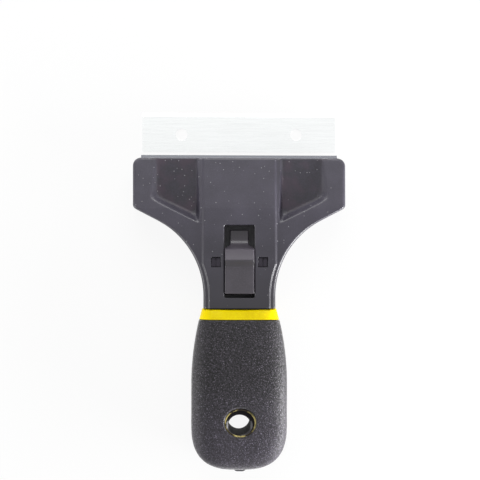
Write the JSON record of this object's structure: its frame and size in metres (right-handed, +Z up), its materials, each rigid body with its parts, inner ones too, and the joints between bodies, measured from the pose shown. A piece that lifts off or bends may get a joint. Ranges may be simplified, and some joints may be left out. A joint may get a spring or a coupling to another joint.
{
  "type": "safety scraper",
  "caption": "Handheld glass scraper with a wide retractable blade, thumb slide, lift-off front cover, soft grip with a hang hole, and a loose spare blade.",
  "frame": {"origin": "centre of the footprint, spare blade included, on the surface that the scraper lies on", "axes": "+X along the blade, +Y from the butt of the handle to the mouth, +Z up through the front cover"},
  "size_m": [0.108, 0.1822, 0.0246],
  "materials": {
    "black_moulded_plastic": "satin moulded plastic",
    "black_cover_plastic": "satin moulded plastic",
    "yellow_sleeve_plastic": "satin moulded plastic",
    "dark_grey_soft_grip": "fine-grained soft grip",
    "grey_carrier_plastic": "plain moulded plastic",
    "black_slide_plastic": "satin moulded plastic",
    "ground_blade_steel": "ground carbon steel",
    "spring_steel": "plain steel"
  },
  "bodies": {
    "housing": {"rear_housing": "black_moulded_plastic", "yellow_sleeve": "yellow_sleeve_plastic", "soft_grip": "dark_grey_soft_grip"},
    "cover": {"front_cover": "black_cover_plastic"},
    "slide": {"blade_carrier": "grey_carrier_plastic", "thumb_slide": "black_slide_plastic", "slide_screw": "spring_steel", "fitted_blade": "ground_blade_steel", "blade_peg_left": "spring_steel", "blade_peg_right": "spring_steel", "detent_spring_left": "spring_steel", "detent_spring_right": "spring_steel"},
    "spare": {"spare_blade": "ground_blade_steel"}
  },
  "joints": [
    {"name": "blade_slide", "type": "slide", "parent": "housing", "child": "slide", "axis": [0, 1, 0], "range_m": [-0.0018, 0.0054]},
    {"name": "cover_lift", "type": "slide", "parent": "housing", "child": "cover", "axis": [0, 0, 1], "range_m": [0, 0.025]},
    {"name": "spare_lift", "type": "slide", "parent": "housing", "child": "spare", "axis": [0, 0, 1], "range_m": [0, 0.03]}
  ]
}
